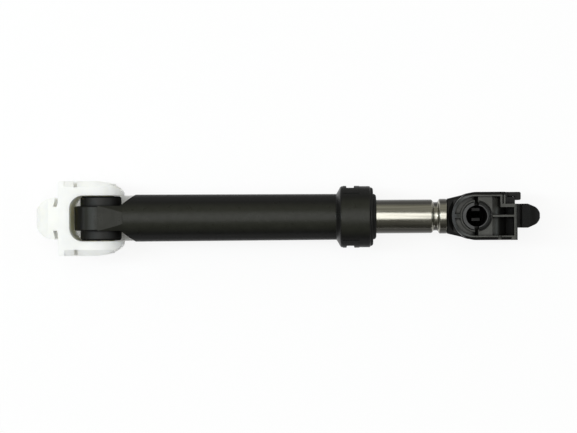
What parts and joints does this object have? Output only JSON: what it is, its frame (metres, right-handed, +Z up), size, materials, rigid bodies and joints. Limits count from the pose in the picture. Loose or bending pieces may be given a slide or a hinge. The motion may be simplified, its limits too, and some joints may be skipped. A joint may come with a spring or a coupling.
{
  "type": "washing machine shock absorber",
  "caption": "Friction damper with a moulded tube housing, a sliding bright steel rod and a pivoting twist-in clip at each end, which steadies the tub of a washing machine.",
  "frame": {"origin": "middle of the cabinet clip's seat face, on the damper's axis", "axes": "+X along the damper's axis from the cabinet clip to the tub clip, +Z up from the surface that it lies on"},
  "size_m": [0.2688, 0.0398, 0.0398],
  "materials": {
    "white_clip_plastic": "moulded white plastic with a soft sheen",
    "white_pin_plastic": "moulded white plastic",
    "housing_plastic": "satin moulded black plastic",
    "bush_rubber": "smooth black rubber",
    "sleeve_steel": "turned steel",
    "cap_plastic": "moulded black plastic",
    "guide_plastic": "natural moulded plastic",
    "lining_foam": "greased foam",
    "rod_steel": "bright plated steel with fine lengthwise lines",
    "rod_eye_plastic": "satin moulded black plastic",
    "black_clip_plastic": "moulded black plastic with a light sheen",
    "black_pin_plastic": "moulded black plastic"
  },
  "bodies": {
    "housing": {"damper_housing": "housing_plastic", "housing_bush_left": "bush_rubber", "housing_bush_right": "bush_rubber", "housing_bush_sleeve": "sleeve_steel", "guide_cap": "cap_plastic", "rear_guide_ring": "guide_plastic"},
    "lining": {"friction_lining": "lining_foam"},
    "rod": {"rod_tube": "rod_steel", "rod_end_bush": "guide_plastic", "rod_eye": "rod_eye_plastic", "rod_bush_upper": "bush_rubber", "rod_bush_lower": "bush_rubber", "rod_bush_sleeve": "sleeve_steel"},
    "cabinet_end": {"cabinet_clip": "white_clip_plastic", "cabinet_pivot_pin": "white_pin_plastic", "cabinet_pin_lock": "white_pin_plastic"},
    "tub_end": {"tub_clip": "black_clip_plastic", "tub_pivot_pin": "black_pin_plastic", "tub_pin_lock": "black_pin_plastic"}
  },
  "joints": [
    {"name": "cabinet_pivot", "type": "hinge", "parent": "housing", "child": "cabinet_end", "pos_m": [0.0213, 0, 0], "axis": [0, 1, 0], "range_deg": [-90, 90]},
    {"name": "rod_turn", "type": "hinge", "parent": "housing", "child": "lining", "pos_m": [0.157, 0, 0], "axis": [1, 0, 0], "continuous": true},
    {"name": "rod_slide", "type": "slide", "parent": "lining", "child": "rod", "axis": [1, 0, 0], "range_m": [-0.0275, 0.0725]},
    {"name": "tub_pivot", "type": "hinge", "parent": "rod", "child": "tub_end", "pos_m": [0.2213, 0, 0], "axis": [0, 0, 1], "range_deg": [-90, 90]}
  ]
}
